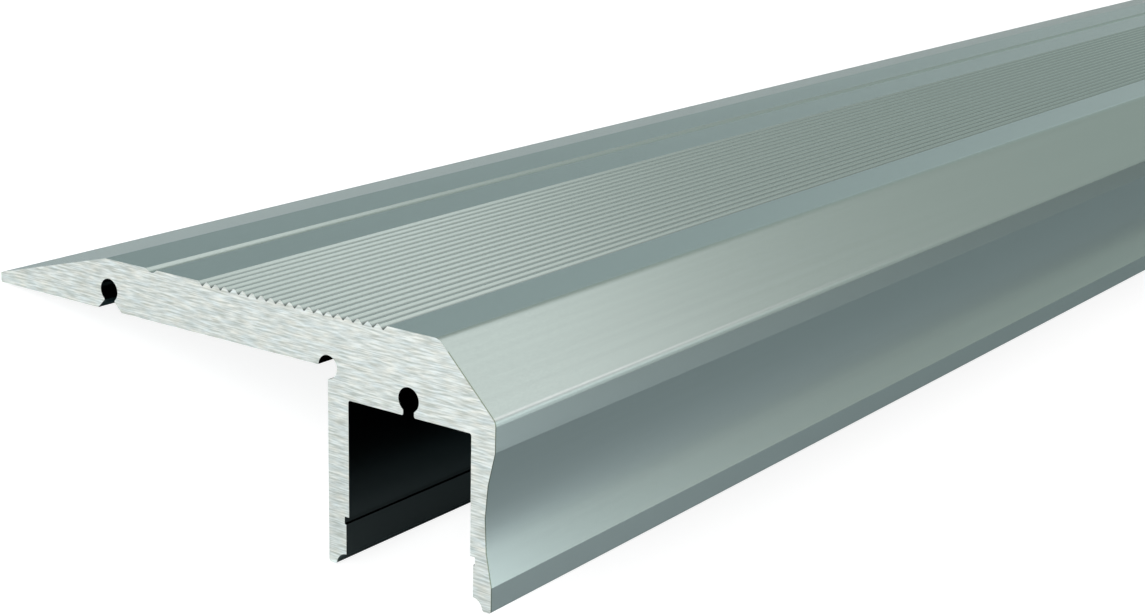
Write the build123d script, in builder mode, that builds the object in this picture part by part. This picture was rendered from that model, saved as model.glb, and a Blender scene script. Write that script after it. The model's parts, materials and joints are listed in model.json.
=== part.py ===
"""Aluminium stair nosing with a light channel: one straight extrusion.

The flange lies on the tread, the back leg hangs down the riser, and the channel between the two
legs holds a light strip behind a clipped-in diffuser. The section is drawn with its nose at x = 0
and its top face at y = 0. Sizes are in millimetres.
"""

import os
from math import atan2, cos, degrees, radians, sin, tan

from build123d import *

os.makedirs("parts", exist_ok=True)

# Stock
length = 1000.0

# Top face, one strip after another from the nose back
nose_chamfer = 5.35
front_land = 4.93
ridge_count = 20
ridge_pitch = 1.0
crest_radius = 0.18
crest_rounded_share = 0.9
valley_width = 0.83
valley_depth = 0.42
valley_radius = 0.1
middle_land = 4.8
drill_groove_width = 1.28
drill_groove_depth = 0.43
drill_groove_radius = 0.7
back_land = 4.81
bevel_width = 13.5

# Flange and legs
flange_thickness = 4.4
tip_height = 0.9
leg_drop = 16.0
front_leg = 2.2
back_leg = 2.1
foot_width = 0.8
edge_radius = 0.2

# Front face, below the chamfer
nose_radius = 0.9
nose_land = 2.35
cove_depth = 0.77
cove_edge_radius = 0.3
foot_land = 2.05
foot_setback = 0.2

# Light channel between the legs
channel_width = 12.0
channel_roof = 6.65
channel_radius = 0.2

# Seats that the diffuser clips into, low on the inside of both legs
seat_height = 3.5
seat_recess = 0.3
notch_height = 0.65
notch_depth = 0.46
notch_radius = 0.1

# Screw ports for an end cap, and the relief that clears the tread's edge
port_radius = 1.0
front_port_rise = 1.3
front_port_neck = 1.06
neck_radius = 0.15
rear_port_inset = 13.8
rear_port_rise = 1.7
rear_port_neck = 1.24
rear_port_mouth = 2.8
relief_radius = 0.95
relief_edge_radius = 0.15

# Where the strips and walls above fall across the section
ridges_front = -nose_chamfer - front_land
ridges_back = ridges_front - (ridge_count - 1) * ridge_pitch - valley_width
ridges_middle = (ridges_front + ridges_back) / 2
drill_line = ridges_back - middle_land - drill_groove_width / 2
bevel_edge = drill_line - drill_groove_width / 2 - back_land
tip = bevel_edge - bevel_width
channel_front = -front_leg
channel_back = channel_front - channel_width
leg_back = channel_back - back_leg
foot_front = -foot_setback
front_port = (channel_front + channel_back) / 2
rear_port = tip + rear_port_inset

# Levels below the top face
underside = -flange_thickness
feet = underside - leg_drop
nose_bottom = -nose_chamfer - nose_land
cove_bottom = feet + foot_land
seat_top = feet + seat_height

# The rounding of a crest never takes more than its share of the flat between two valleys
flank_angle = atan2(valley_depth, valley_width / 2)
crest_flat = ridge_pitch - valley_width
crest_rounding = min(crest_radius, crest_rounded_share * crest_flat / 2 / tan(flank_angle / 2))

# How the stock rests: back on its tip and the heel of its back leg
rest_angle = degrees(atan2(leg_drop, leg_back - tip))


def corners(sketch, *places):
    """The sketch's corner nearest to each place."""
    return [sketch.vertices().sort_by_distance(place)[0] for place in places]


# Solid outline: bevelled flange, chamfered nose and coved front face
with BuildSketch() as outline:
    with BuildLine():
        Polyline(
            (0, nose_bottom),
            (0, -nose_chamfer),
            (-nose_chamfer, 0),
            (bevel_edge, 0),
            (tip, underside + tip_height),
            (tip, underside),
            (leg_back, underside),
            (leg_back, feet),
            (foot_front, feet),
            (foot_front, cove_bottom),
        )
        SagittaArc((foot_front, cove_bottom), (0, nose_bottom), cove_depth)
    make_face()
    fillet(corners(outline, (0, -nose_chamfer), (-nose_chamfer, 0)), nose_radius)
    fillet(corners(outline, (0, nose_bottom), (foot_front, cove_bottom)), cove_edge_radius)

# Valleys between the ridges of the tread strip: a V each, rounded at its bottom
with BuildSketch() as valleys:
    with Locations((ridges_middle, 0)):
        with GridLocations(ridge_pitch, 1, ridge_count, 1):
            Polygon((-valley_width / 2, 0), (0, -valley_depth), (valley_width / 2, 0), align=None)
    fillet(valleys.vertices().group_by(Axis.Y)[0], valley_radius)

# Line that guides the drill for the fixing screws: a wider V with a rounder bottom
with BuildSketch() as drill_groove:
    with Locations((drill_line, 0)):
        half_groove = drill_groove_width / 2
        Polygon((-half_groove, 0), (0, -drill_groove_depth), (half_groove, 0), align=None)
    fillet(drill_groove.vertices().sort_by(Axis.Y)[0], drill_groove_radius)

# Channel for the light strip, with a clip seat, its notch and a lead-in on each leg
with BuildSketch() as channel:
    with Locations((front_port, -channel_roof)):
        Rectangle(channel_width, -channel_roof - feet, align=(Align.CENTER, Align.MAX))
    fillet(corners(channel, (channel_front, -channel_roof), (channel_back, -channel_roof)), channel_radius)
    with Locations((front_port, seat_top)):
        Rectangle(channel_width + 2 * seat_recess, seat_height, align=(Align.CENTER, Align.MAX))
        Rectangle(channel_width + 2 * notch_depth, notch_height, align=(Align.CENTER, Align.MIN))
    for seat, foot in (
        (channel_front + seat_recess, foot_front - foot_width),
        (channel_back - seat_recess, leg_back + foot_width),
    ):
        with Locations((seat, feet)):
            Circle(abs(foot - seat))
    notch_front = channel_front + notch_depth
    notch_back = channel_back - notch_depth
    notch_top = seat_top + notch_height
    notch_corners = corners(
        channel,
        (notch_front, seat_top),
        (notch_front, notch_top),
        (notch_back, seat_top),
        (notch_back, notch_top),
    )
    fillet(notch_corners, notch_radius)

# Round ports, open along one side, and the corner relief under the flange
with BuildSketch() as ports:
    with Locations((front_port, front_port_rise - channel_roof)):
        Circle(port_radius)
        Rectangle(front_port_neck, front_port_rise, align=(Align.CENTER, Align.MAX))
    with Locations((rear_port, rear_port_rise + underside)):
        Circle(port_radius)
        Rectangle(rear_port_neck, rear_port_rise, align=(Align.CENTER, Align.MAX))
    with Locations((rear_port, underside)):
        flare = (rear_port_mouth - rear_port_neck) / 2
        Polygon(
            (-rear_port_mouth / 2, 0),
            (-rear_port_neck / 2, flare),
            (rear_port_neck / 2, flare),
            (rear_port_mouth / 2, 0),
            align=None,
        )
    with Locations((leg_back, underside)):
        Circle(relief_radius)

# The whole section, with its ridges rounded and its sharp corners eased
with BuildSketch() as section:
    add(outline.sketch)
    add(valleys.sketch, mode=Mode.SUBTRACT)
    add(drill_groove.sketch, mode=Mode.SUBTRACT)
    add(channel.sketch, mode=Mode.SUBTRACT)
    add(ports.sketch, mode=Mode.SUBTRACT)

    first_valley = ridges_front - valley_width / 2
    last_valley = ridges_back + valley_width / 2
    crests = section.vertices().filter_by_position(Axis.X, last_valley, first_valley).group_by(Axis.Y)[-1]
    fillet(crests, crest_rounding)

    half_neck = front_port_neck / 2
    neck_mouth = corners(
        section, (front_port - half_neck, -channel_roof), (front_port + half_neck, -channel_roof)
    )
    fillet(neck_mouth, neck_radius)
    relief_ends = corners(
        section, (leg_back - relief_radius, underside), (leg_back, underside - relief_radius)
    )
    fillet(relief_ends, relief_edge_radius)
    edges = corners(
        section,
        (tip, underside + tip_height),
        (tip, underside),
        (leg_back, feet),
        (leg_back + foot_width, feet),
        (foot_front - foot_width, feet),
        (foot_front, feet),
    )
    fillet(edges, edge_radius)

# The stock, tilted as it rests, over the middle of its footprint on the floor
resting = section.sketch.rotate(Axis.Z, rest_angle).bounding_box()
rest_plane = Plane(
    origin=(-resting.center().X, 0, -resting.min.Y),
    x_dir=(cos(radians(rest_angle)), 0, sin(radians(rest_angle))),
    z_dir=(0, -1, 0),
)
with BuildPart() as stair_profile:
    with BuildSketch(rest_plane):
        add(section.sketch)
    extrude(amount=length / 2, both=True)

stair_profile.part.label = "stair_profile"
export_step(stair_profile.part, "parts/stair_profile.step")
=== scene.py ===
"""Looks of the aluminium stair profile: satin anodised faces, bright brushed ends, a plain pale studio.

Lengths are in metres in the row frame: +Y along the stock, +X towards its nose, +Z up from the floor.
"""

import json
from math import atan2, cos, pi, radians, sin

import bpy
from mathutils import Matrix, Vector


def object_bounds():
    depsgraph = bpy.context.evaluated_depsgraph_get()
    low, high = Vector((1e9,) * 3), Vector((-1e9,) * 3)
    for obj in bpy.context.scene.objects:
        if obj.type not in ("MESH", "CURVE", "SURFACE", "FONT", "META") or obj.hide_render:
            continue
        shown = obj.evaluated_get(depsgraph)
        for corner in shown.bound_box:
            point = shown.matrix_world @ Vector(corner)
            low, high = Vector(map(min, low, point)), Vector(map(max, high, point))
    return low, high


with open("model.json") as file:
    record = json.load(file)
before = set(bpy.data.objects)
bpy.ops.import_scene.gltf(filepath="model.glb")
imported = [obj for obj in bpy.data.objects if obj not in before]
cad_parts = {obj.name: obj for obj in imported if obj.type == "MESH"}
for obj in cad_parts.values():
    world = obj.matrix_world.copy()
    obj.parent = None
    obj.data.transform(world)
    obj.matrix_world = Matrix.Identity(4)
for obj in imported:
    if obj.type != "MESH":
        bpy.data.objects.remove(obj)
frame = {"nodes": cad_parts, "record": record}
cad_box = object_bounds()

mm = 0.001

# The photograph's camera, which looks down on the near end from the nose's side
image_width = 1145
focal_length_in_pixels = 2049.3
sensor_width = 36.0
focal_length = focal_length_in_pixels * sensor_width / image_width
camera_place = (83.15 * mm, -611.03 * mm, 97.95 * mm)
camera_turn = (60.319, -19.546, 38.462)
nearest_seen = 5 * mm

# Colours of the metal, linear
anodised_colour = (0.223, 0.273, 0.279)
anodised_edge_tint = (0.64, 0.73, 0.73)
# Painted shade: the dark colour put into hollows, crevices, the channel and the ports in place of their
# shadow
painted_hollow_shade = (0.022, 0.027, 0.028)
cut_edge_colour = (0.11, 0.14, 0.11)
brushed_cool = (0.78, 0.835, 0.85)
brushed_warm = (0.85, 0.85, 0.81)
streak_shade = (0.58, 0.60, 0.58)
black = (0.0, 0.0, 0.0)

# Colours of the studio and its light, linear
floor_colour = (0.76, 0.80, 0.80)
white = (1.0, 1.0, 1.0)
ivory = (1.01, 1.0, 0.89)
warm_white = (1.10, 1.0, 0.95)
rosy_white = (1.35, 1.0, 1.05)
cool_white = (0.90, 1.0, 1.28)

# The studio
lit_place = Vector((0.0, -0.42, 0.02))
floor_size = 8.0
floor_gain_to_camera = 2.9
shadow_share = 0.15

# Grain of the metal: how far it reaches across the stock, along it and up, in millimetres
die_line_reach = (0.4, 90.0, 0.4)
etch_reach = (0.12, 0.4, 0.12)
brush_wave_reach = (9.0, 9.0, 3.0)
streak_reach = (1.8, 1.0, 0.15)
tint_reach = (1.6, 1.0, 0.5)

# How strongly the grain shows
noise_low = 0.3
noise_high = 0.7
die_line_shades = (0.985, 1.015)
etch_share = 0.3
satin_roughness = (0.23, 0.27)
satin_bump = 0.007
brush_wave_height = 0.3 * mm
streak_light_from = 0.64
streak_dark_from = 0.34
brushed_roughness = 0.42
brushed_bump = 0.3
bump_depth = 0.02 * mm

# Sizes on the stock, in the section's own axes
flange_thickness = 4.4 * mm
ridge_depth = 0.42 * mm
ridge_strip_half = 10.0 * mm
ridge_strip_offset = 12.0 * mm
channel_half = 6.9 * mm
port_mouth_half = 1.6 * mm
cut_edge = 0.12 * mm

# Painted shade: valleys between the ridges darken between two levels, which are shares of the ridges' depth
valley_painted_shade = 0.3
valley_light_from = 0.35
valley_dark_from = 0.75

# Painted shade: hollows and crevices darken with how much the metal around them closes them in
hollow_reach = 30 * mm
hollow_dark_from = 0.6
hollow_light_from = 0.8
channel_closeness = 0.2
crevice_reach = 1 * mm
crevice_dark_from = 0.45
crevice_light_from = 0.8

# A face belongs to a cut end where its normal lies along the stock
end_facing = 0.5

# The stock lies tilted: its tread seat gives the turn from the row frame to the section's own axes
mounts = {mount["name"]: mount for mount in frame["record"]["mounts"]}
under_flange = Vector(mounts["tread_seat"]["axis"])
tilt = atan2(under_flange.x, -under_flange.z)
half_length = cad_box[1].y


def section_point(mount):
    """How far a mount lies towards the nose and up, along the section's own axes."""
    place = Vector(mounts[mount]["pos_m"])
    return place.x * cos(tilt) + place.z * sin(tilt), place.z * cos(tilt) - place.x * sin(tilt)


channel_middle = section_point("diffuser_seat")[0]
rear_port = section_point("rear_screw_port")[0]
ridge_strip_middle = channel_middle - ridge_strip_offset
top_face = section_point("tread_seat")[1] + flange_thickness
below_ridges = top_face - 2 * ridge_depth


class Nodes:
    """Adds shader nodes to one material or world and links them."""

    def __init__(self, tree):
        self.tree = tree
        tree.nodes.clear()

    def add(self, kind, settings=None, **inputs):
        """One node. An input is a number, a colour or another node's output; names use _ for a space."""
        node = self.tree.nodes.new("ShaderNode" + kind)
        for name, value in (settings or {}).items():
            setattr(node, name, value)
        for name, value in inputs.items():
            self.feed(self.socket(node, name), value)
        return node

    def socket(self, node, name):
        """The input with that name, or with that number after an n."""
        if name[0] == "n" and name[1:].isdigit():
            return node.inputs[int(name[1:])]
        return node.inputs[name.replace("_", " ")]

    def feed(self, socket, value):
        """Links another node's output to the socket, or sets its number or colour."""
        if isinstance(value, bpy.types.NodeSocket):
            self.tree.links.new(value, socket)
        elif hasattr(value, "__len__") and socket.type == "RGBA":
            socket.default_value = (*value, 1.0)
        else:
            socket.default_value = value

    def math(self, operation, *values):
        inputs = {f"n{i}": value for i, value in enumerate(values)}
        return self.add("Math", {"operation": operation}, **inputs).outputs[0]

    def noise(self, place, reach, detail=2.0, roughness=0.5):
        """Noise whose grains reach that far along the three axes, in millimetres."""
        shrink = tuple(1.0 / (length * mm) for length in reach)
        grains = self.add("Mapping", Vector=place, Scale=shrink)
        node = self.add("TexNoise", Vector=grains.outputs[0], Scale=1.0, Detail=detail, Roughness=roughness)
        return node.outputs["Fac"]

    def span(self, value, low, high, to_low=0.0, to_high=1.0):
        """The value, with low to high stretched over to_low to to_high and held at both ends."""
        limits = {"From_Min": low, "From_Max": high, "To_Min": to_low, "To_Max": to_high}
        return self.add("MapRange", Value=value, **limits).outputs[0]

    def vary(self, noise, low=0.0, high=1.0):
        """Between low and high, as the noise goes through the middle range that it mostly fills."""
        return self.span(noise, noise_low, noise_high, low, high)

    def openness(self, reach):
        """1 where nothing of the stock within that reach closes a point in, and less where it does."""
        node = self.add("AmbientOcclusion", {"only_local": True, "samples": 8}, Distance=reach)
        return node.outputs["AO"]

    def grey(self, value):
        return self.add("CombineColor", Red=value, Green=value, Blue=value).outputs[0]

    def mix(self, share, a, b):
        """Between colours a and b."""
        return self.add("Mix", {"data_type": "RGBA"}, n0=share, n6=a, n7=b).outputs[2]

    def multiply(self, share, a, b):
        """Colour a, multiplied by colour b over that share."""
        settings = {"data_type": "RGBA", "blend_type": "MULTIPLY"}
        return self.add("Mix", settings, n0=share, n6=a, n7=b).outputs[2]


def section_place(nodes):
    """A point's place along the section's own axes: across towards the nose, along the stock, up."""
    place = nodes.add("TexCoord").outputs["Object"]
    return nodes.add("Mapping", Vector=place, Rotation=(0.0, tilt, 0.0)).outputs[0]


def ridge_painted_shade(nodes, where):
    """White, and darker down in the valleys of the ridged strip: painted shade."""
    on_ridges = nodes.math("COMPARE", where["X"], ridge_strip_middle, ridge_strip_half)
    dark_level = top_face - valley_dark_from * ridge_depth
    light_level = top_face - valley_light_from * ridge_depth
    valley = nodes.grey(nodes.span(where["Z"], dark_level, light_level, valley_painted_shade, 1.0))
    return nodes.mix(on_ridges, white, valley)


def unshaded_share(nodes, where, below_top):
    """Share without painted shade: 1 on open faces and on the top face, 0 inside the channel, the ports and
    the relief.
    """
    in_channel = nodes.math("COMPARE", where["X"], channel_middle, channel_half)
    in_port = nodes.math("COMPARE", where["X"], rear_port, port_mouth_half)
    inside = nodes.math("MAXIMUM", in_channel, in_port)
    openness = nodes.math("MULTIPLY_ADD", inside, -channel_closeness, nodes.openness(hollow_reach))
    on_top = nodes.math("SUBTRACT", 1.0, below_top)
    return nodes.math("MAXIMUM", nodes.span(openness, hollow_dark_from, hollow_light_from), on_top)


def satin_anodised(nodes, place):
    """Etched and anodised: smooth, with faint lines that the die left along the stock.

    Painted shade darkens it in hollows, most of all in their crevices, and in the ridges' valleys. It also
    darkens along the cut's edge.
    """
    where = nodes.add("SeparateXYZ", Vector=place).outputs
    die_lines = nodes.noise(place, die_line_reach, detail=3.0)
    grain = nodes.noise(place, etch_reach)
    lined = nodes.multiply(1.0, anodised_colour, nodes.grey(nodes.vary(die_lines, *die_line_shades)))
    # Painted shade down in the ridges' valleys
    ridged = nodes.multiply(1.0, lined, ridge_painted_shade(nodes, where))
    below_top = nodes.math("LESS_THAN", where["Z"], below_ridges)
    to_end = nodes.math("SUBTRACT", half_length, nodes.math("ABSOLUTE", where["Y"]))
    on_edge = nodes.math("MULTIPLY", nodes.math("LESS_THAN", to_end, cut_edge), below_top)
    edged = nodes.mix(on_edge, ridged, cut_edge_colour)
    # Painted shade in hollows, the channel and the ports, darkest in their crevices
    crevice = nodes.span(nodes.openness(crevice_reach), crevice_dark_from, crevice_light_from)
    painted_shade = nodes.mix(crevice, black, painted_hollow_shade)
    unshaded = unshaded_share(nodes, where, below_top)
    height = nodes.math("MULTIPLY_ADD", grain, etch_share, die_lines)
    bump = nodes.add("Bump", Strength=satin_bump, Distance=bump_depth, Height=height)
    # Painted shade darkens both the base colour and the reflection's tint in hollows
    return nodes.add(
        "BsdfPrincipled",
        Base_Color=nodes.mix(unshaded, painted_shade, edged),
        Metallic=1.0,
        Roughness=nodes.vary(grain, *satin_roughness),
        Specular_Tint=nodes.mix(unshaded, painted_shade, anodised_edge_tint),
        Normal=bump.outputs[0],
    )


def brushed_end(nodes, place):
    """Bright cut face, brushed across the section in slightly wavy streaks of two tones."""
    waves = nodes.noise(place, brush_wave_reach)
    wobble = nodes.add("CombineXYZ", Z=nodes.math("MULTIPLY", waves, brush_wave_height))
    bent = nodes.add("VectorMath", {"operation": "ADD"}, n0=place, n1=wobble.outputs[0]).outputs[0]
    streaks = nodes.noise(bent, streak_reach, detail=3.0, roughness=0.55)
    tone = nodes.mix(nodes.vary(nodes.noise(place, tint_reach)), brushed_cool, brushed_warm)
    dark_share = nodes.span(streaks, streak_light_from, streak_dark_from)
    bump = nodes.add("Bump", Strength=brushed_bump, Distance=bump_depth, Height=streaks)
    return nodes.add(
        "BsdfPrincipled",
        Base_Color=nodes.multiply(dark_share, tone, streak_shade),
        Metallic=1.0,
        Roughness=brushed_roughness,
        Normal=bump.outputs[0],
    )


def aluminium():
    """The stock's one material: anodised along its length, brushed on both ends."""
    material = bpy.data.materials.new("anodised_aluminium")
    material.use_nodes = True
    nodes = Nodes(material.node_tree)
    place = section_place(nodes)
    normal = nodes.add("TexCoord").outputs["Normal"]
    along = nodes.math("ABSOLUTE", nodes.add("SeparateXYZ", Vector=normal).outputs["Y"])
    both = nodes.add(
        "MixShader",
        n0=nodes.math("GREATER_THAN", along, end_facing),
        n1=satin_anodised(nodes, place).outputs[0],
        n2=brushed_end(nodes, place).outputs[0],
    )
    nodes.add("OutputMaterial", Surface=both.outputs[0])
    return material


def pale_floor():
    """Near white to the camera, with the stock's faint soft shadow; to the metal, plainly as it is lit."""
    bpy.ops.mesh.primitive_plane_add(size=floor_size)
    floor = bpy.context.object
    floor.name = "floor"
    material = bpy.data.materials.new("floor")
    material.use_nodes = True
    nodes = Nodes(material.node_tree)
    plain = nodes.add("BsdfDiffuse", Color=floor_colour)
    bright = nodes.add("BsdfDiffuse", Color=tuple(c * floor_gain_to_camera for c in floor_colour))
    glow = nodes.add("Emission", Color=white, Strength=1.0)
    shown = nodes.add("MixShader", n0=shadow_share, n1=glow.outputs[0], n2=bright.outputs[0])
    to_camera = nodes.add("LightPath").outputs["Is Camera Ray"]
    surface = nodes.add("MixShader", n0=to_camera, n1=plain.outputs[0], n2=shown.outputs[0])
    nodes.add("OutputMaterial", Surface=surface.outputs[0])
    floor.data.materials.append(material)


def white_world():
    """White to the camera and a touch warmer to metal or glass; the lamps give all other light."""
    world = bpy.data.worlds.new("studio")
    bpy.context.scene.world = world
    world.use_nodes = True
    nodes = Nodes(world.node_tree)
    path = nodes.add("LightPath").outputs
    seen = path["Is Camera Ray"]
    for ray in ("Is Glossy Ray", "Is Transmission Ray"):
        seen = nodes.math("MAXIMUM", seen, path[ray])
    sky = nodes.mix(path["Is Camera Ray"], ivory, white)
    nodes.add("OutputWorld", Surface=nodes.add("Background", Color=sky, Strength=seen).outputs[0])


def soft_lamp(name, bearing, height_angle, distance, width, height, radiance, colour=white):
    """A rectangular soft box that faces the near end. Its bearing is clockwise from +Y, in degrees."""
    light = bpy.data.lights.new(name, "AREA")
    light.shape = "RECTANGLE"
    light.size = width
    light.size_y = height
    light.color = colour
    light.energy = radiance * pi * width * height
    turn, rise = radians(bearing), radians(height_angle)
    out = Vector((sin(turn) * cos(rise), cos(turn) * cos(rise), sin(rise)))
    lamp = bpy.data.objects.new(name, light)
    lamp.location = lit_place + out * distance
    lamp.rotation_euler = out.to_track_quat("Z", "Y").to_euler()
    bpy.context.scene.collection.objects.link(lamp)


def camera():
    """The camera at the photograph's place."""
    data = bpy.data.cameras.new("camera")
    data.sensor_width = sensor_width
    data.lens = focal_length
    data.clip_start = nearest_seen
    eye = bpy.data.objects.new("camera", data)
    eye.location = camera_place
    eye.rotation_euler = [radians(angle) for angle in camera_turn]
    bpy.context.scene.collection.objects.link(eye)
    bpy.context.scene.camera = eye


stock = frame["nodes"]["stair_profile"]
stock.data.materials.clear()
stock.data.materials.append(aluminium())

pale_floor()
white_world()

# Lamps beyond the stock, for its top faces
soft_lamp("lamp_above", -5, 55, 0.8, 1.20, 0.40, 0.50, warm_white)
soft_lamp("lamp_beyond", -12, 47, 0.8, 0.90, 0.20, 1.14, warm_white)
soft_lamp("lamp_horizon", -35, 5, 1.2, 1.00, 0.16, 0.40, cool_white)

# Lamps on the nose's side, for the chamfer, its rounded edge and the cove
soft_lamp("lamp_nose_left", 24, 38, 0.6, 0.20, 0.12, 0.51, rosy_white)
soft_lamp("lamp_nose_right", 30, 42, 0.6, 0.24, 0.12, 0.73, rosy_white)
soft_lamp("lamp_edge_high", 32, 27, 0.6, 0.14, 0.12, 1.00, warm_white)
soft_lamp("lamp_edge_low", 44, 24, 0.6, 0.16, 0.16, 1.43)
soft_lamp("lamp_right", 72, 10, 0.45, 0.30, 0.36, 2.95)
soft_lamp("lamp_low", 55, 14, 0.6, 0.30, 0.24, 0.35)

# Lamps before the near end, for the brushed cut face
soft_lamp("lamp_front", 180, 25, 0.7, 0.70, 0.50, 5.00)
soft_lamp("lamp_side", -120, 25, 0.7, 0.70, 0.50, 3.70)

camera()
bpy.context.scene.view_settings.view_transform = "Standard"
